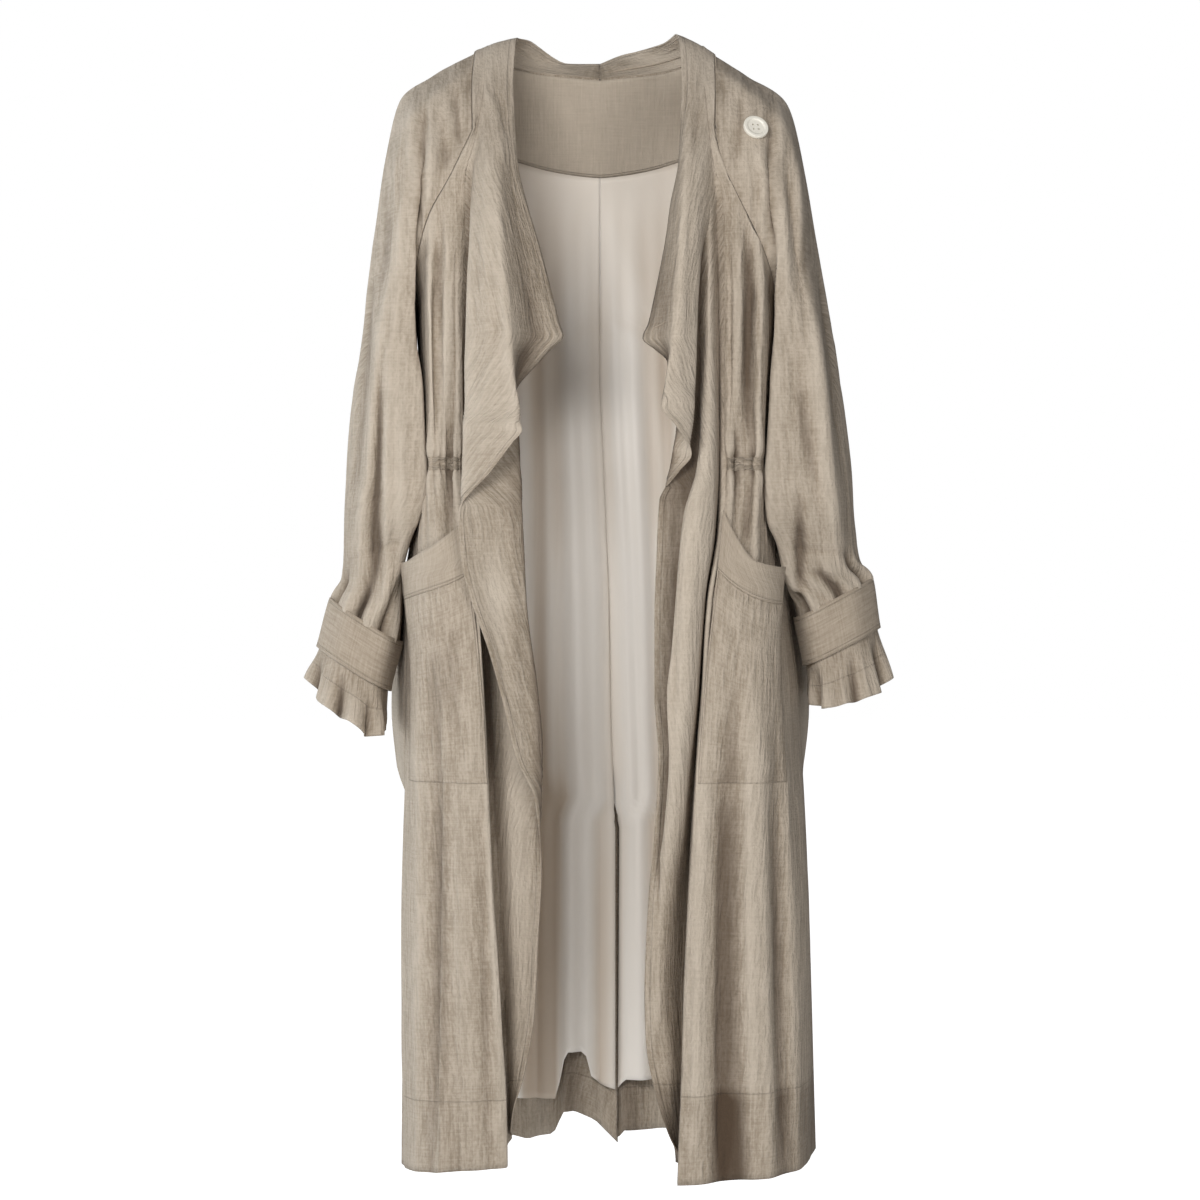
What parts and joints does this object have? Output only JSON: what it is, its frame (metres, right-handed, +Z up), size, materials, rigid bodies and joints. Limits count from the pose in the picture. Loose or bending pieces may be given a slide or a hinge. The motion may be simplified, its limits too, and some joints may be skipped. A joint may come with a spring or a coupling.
{
  "type": "drawstring long coat",
  "caption": "Open-front long coat in crinkled linen with raglan sleeves, draped shawl lapels, gathered waist, patch pockets and strapped cuffs, hollow and hanging as worn.",
  "frame": {"origin": "midway between the two shoulders at their height, where the wearer or a hanger holds the coat up", "axes": "+Z up along the coat, front facing -Y, +X towards the wearer's left sleeve"},
  "size_m": [0.6021, 0.2951, 1.1797],
  "materials": {
    "linen": "beige crinkled linen weave, matt",
    "lining": "cream satin, soft sheen",
    "button": "cream resin, semi-gloss"
  },
  "bodies": {
    "root": {"front_right": "linen", "front_left": "linen", "back_right": "linen", "back_left": "linen", "sleeve_right": "linen", "sleeve_left": "linen", "cuff_strap_right": "linen", "cuff_strap_left": "linen", "pocket_right": "linen", "pocket_left": "linen", "pocket_band_right": "linen", "pocket_band_left": "linen", "waist_channel_right": "linen", "waist_channel_left": "linen", "back_neck_facing": "linen", "lining_right": "lining", "lining_left": "lining", "shoulder_button": "button"}
  },
  "joints": []
}
